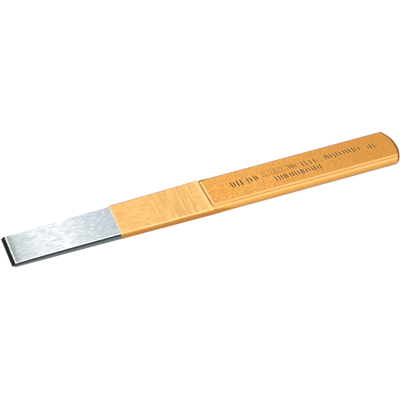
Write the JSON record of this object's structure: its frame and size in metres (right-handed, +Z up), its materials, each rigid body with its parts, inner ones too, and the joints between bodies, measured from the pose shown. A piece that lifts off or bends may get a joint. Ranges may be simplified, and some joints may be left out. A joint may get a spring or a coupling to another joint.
{
  "type": "flat splitting chisel",
  "caption": "Forged flat chisel with a wide ground blade, a concave ramp up to a crest, a flat-oval handle with sunk panels and a crowned striking head.",
  "frame": {"origin": "centre of the bounding box at its base, on the plane that the tool lies on, under the middle of its length and width", "axes": "+X along the tool from the cutting edge to the struck head, +Y across it, +Z up through its thickness"},
  "size_m": [0.24, 0.0262, 0.0058],
  "materials": {
    "ground_steel": "fine ground",
    "gold_lacquer": "metallic gold satin lacquer"
  },
  "bodies": {
    "root": {"steel_bar": "ground_steel", "lacquer_coat": "gold_lacquer"}
  },
  "joints": []
}
